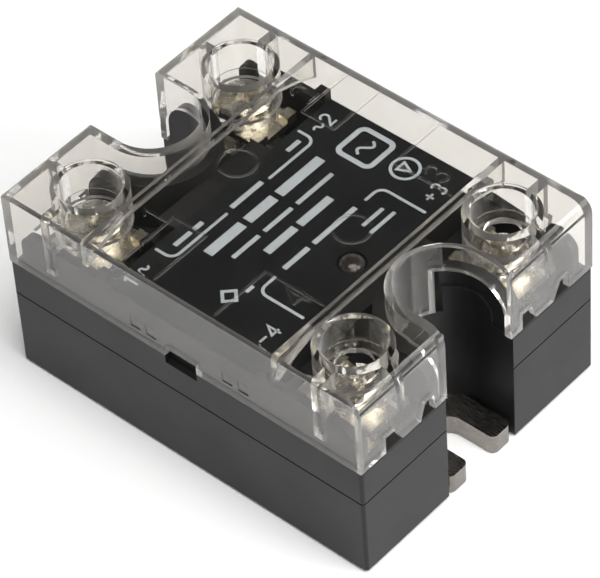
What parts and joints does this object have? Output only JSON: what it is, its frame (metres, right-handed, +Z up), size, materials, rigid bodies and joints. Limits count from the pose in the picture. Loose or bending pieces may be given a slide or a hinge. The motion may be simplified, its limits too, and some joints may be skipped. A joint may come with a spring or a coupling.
{
  "type": "solid state relay",
  "caption": "Panel-mount solid state relay: black rectangular case on an aluminium plate, notched ends, clear cover over screw clamp terminals.",
  "frame": {"origin": "middle of the baseplate's underside, which is the bottom centre of the whole relay", "axes": "+Z up out of the mounting face; X along the length, +X to the control end (terminals 3 and 4, open slot); Y across the width"},
  "size_m": [0.0584, 0.0446, 0.03],
  "materials": {
    "plate_aluminium": "satin, lightly oxidised",
    "case_black": "fine moulded satin",
    "clear_cover": "clear polycarbonate, slight warm grey",
    "label_black": "printed film",
    "lamp_lens": "dim tinted epoxy",
    "alumina": "fired alumina",
    "copper": "bare copper",
    "silicon": "glass-passivated chip",
    "resin": "cured potting resin",
    "board_green": "solder-masked laminate",
    "package_black": "moulded epoxy",
    "resistor_tan": "lacquered",
    "capacitor_blue": "coated film capacitor",
    "screw_steel": "nickel-plated steel",
    "clamp_nickel": "nickel-plated brass"
  },
  "bodies": {
    "case": {"baseplate": "plate_aluminium", "housing": "case_black", "label": "label_black", "led": "lamp_lens", "output_nuts": "clamp_nickel", "input_nuts": "clamp_nickel", "output_bar_1": "clamp_nickel", "output_bar_2": "clamp_nickel", "input_bar_3": "clamp_nickel", "input_bar_4": "clamp_nickel", "ceramic_substrate": "alumina", "copper_pads": "copper", "thyristor_1": "silicon", "thyristor_2": "silicon", "chip_straps": "copper", "link_pins": "copper", "potting_compound": "resin", "circuit_board": "board_green", "optocoupler": "package_black", "driver_chip": "package_black", "resistors": "resistor_tan", "capacitor": "capacitor_blue"},
    "cover": {"cover": "clear_cover"},
    "clamp_1": {"clamp_plate_1": "clamp_nickel", "screw_washer_1": "screw_steel"},
    "screw_1": {"terminal_screw_1": "screw_steel"},
    "clamp_2": {"clamp_plate_2": "clamp_nickel", "screw_washer_2": "screw_steel"},
    "screw_2": {"terminal_screw_2": "screw_steel"},
    "clamp_3": {"clamp_plate_3": "clamp_nickel", "screw_washer_3": "screw_steel"},
    "screw_3": {"terminal_screw_3": "screw_steel"},
    "clamp_4": {"clamp_plate_4": "clamp_nickel", "screw_washer_4": "screw_steel"},
    "screw_4": {"terminal_screw_4": "screw_steel"}
  },
  "joints": [
    {"name": "cover_lift", "type": "slide", "parent": "case", "child": "cover", "axis": [0, 0, 1], "range_m": [0, 0.02]},
    {"name": "clamp_1_travel", "type": "slide", "parent": "case", "child": "clamp_1", "axis": [0, 0, 1], "range_m": [-0.0048, 0]},
    {"name": "screw_1_turn", "type": "hinge", "parent": "clamp_1", "child": "screw_1", "pos_m": [-0.0216, -0.0141, 0.02], "axis": [0, 0, 1], "range_deg": [-2483.6, 0]},
    {"name": "clamp_2_travel", "type": "slide", "parent": "case", "child": "clamp_2", "axis": [0, 0, 1], "range_m": [-0.0048, 0]},
    {"name": "screw_2_turn", "type": "hinge", "parent": "clamp_2", "child": "screw_2", "pos_m": [-0.0216, 0.0141, 0.02], "axis": [0, 0, 1], "range_deg": [-2483.6, 0]},
    {"name": "clamp_3_travel", "type": "slide", "parent": "case", "child": "clamp_3", "axis": [0, 0, 1], "range_m": [-0.0044, 0]},
    {"name": "screw_3_turn", "type": "hinge", "parent": "clamp_3", "child": "screw_3", "pos_m": [0.0216, 0.0141, 0.02], "axis": [0, 0, 1], "range_deg": [-2655, 0]},
    {"name": "clamp_4_travel", "type": "slide", "parent": "case", "child": "clamp_4", "axis": [0, 0, 1], "range_m": [-0.0044, 0]},
    {"name": "screw_4_turn", "type": "hinge", "parent": "clamp_4", "child": "screw_4", "pos_m": [0.0216, -0.0141, 0.02], "axis": [0, 0, 1], "range_deg": [-2655, 0]}
  ],
  "couplings": [
    {"joint": "screw_1_turn", "follows": "clamp_1_travel", "rad_per_m": 8976},
    {"joint": "screw_2_turn", "follows": "clamp_2_travel", "rad_per_m": 8976},
    {"joint": "screw_3_turn", "follows": "clamp_3_travel", "rad_per_m": 10472},
    {"joint": "screw_4_turn", "follows": "clamp_4_travel", "rad_per_m": 10472}
  ]
}
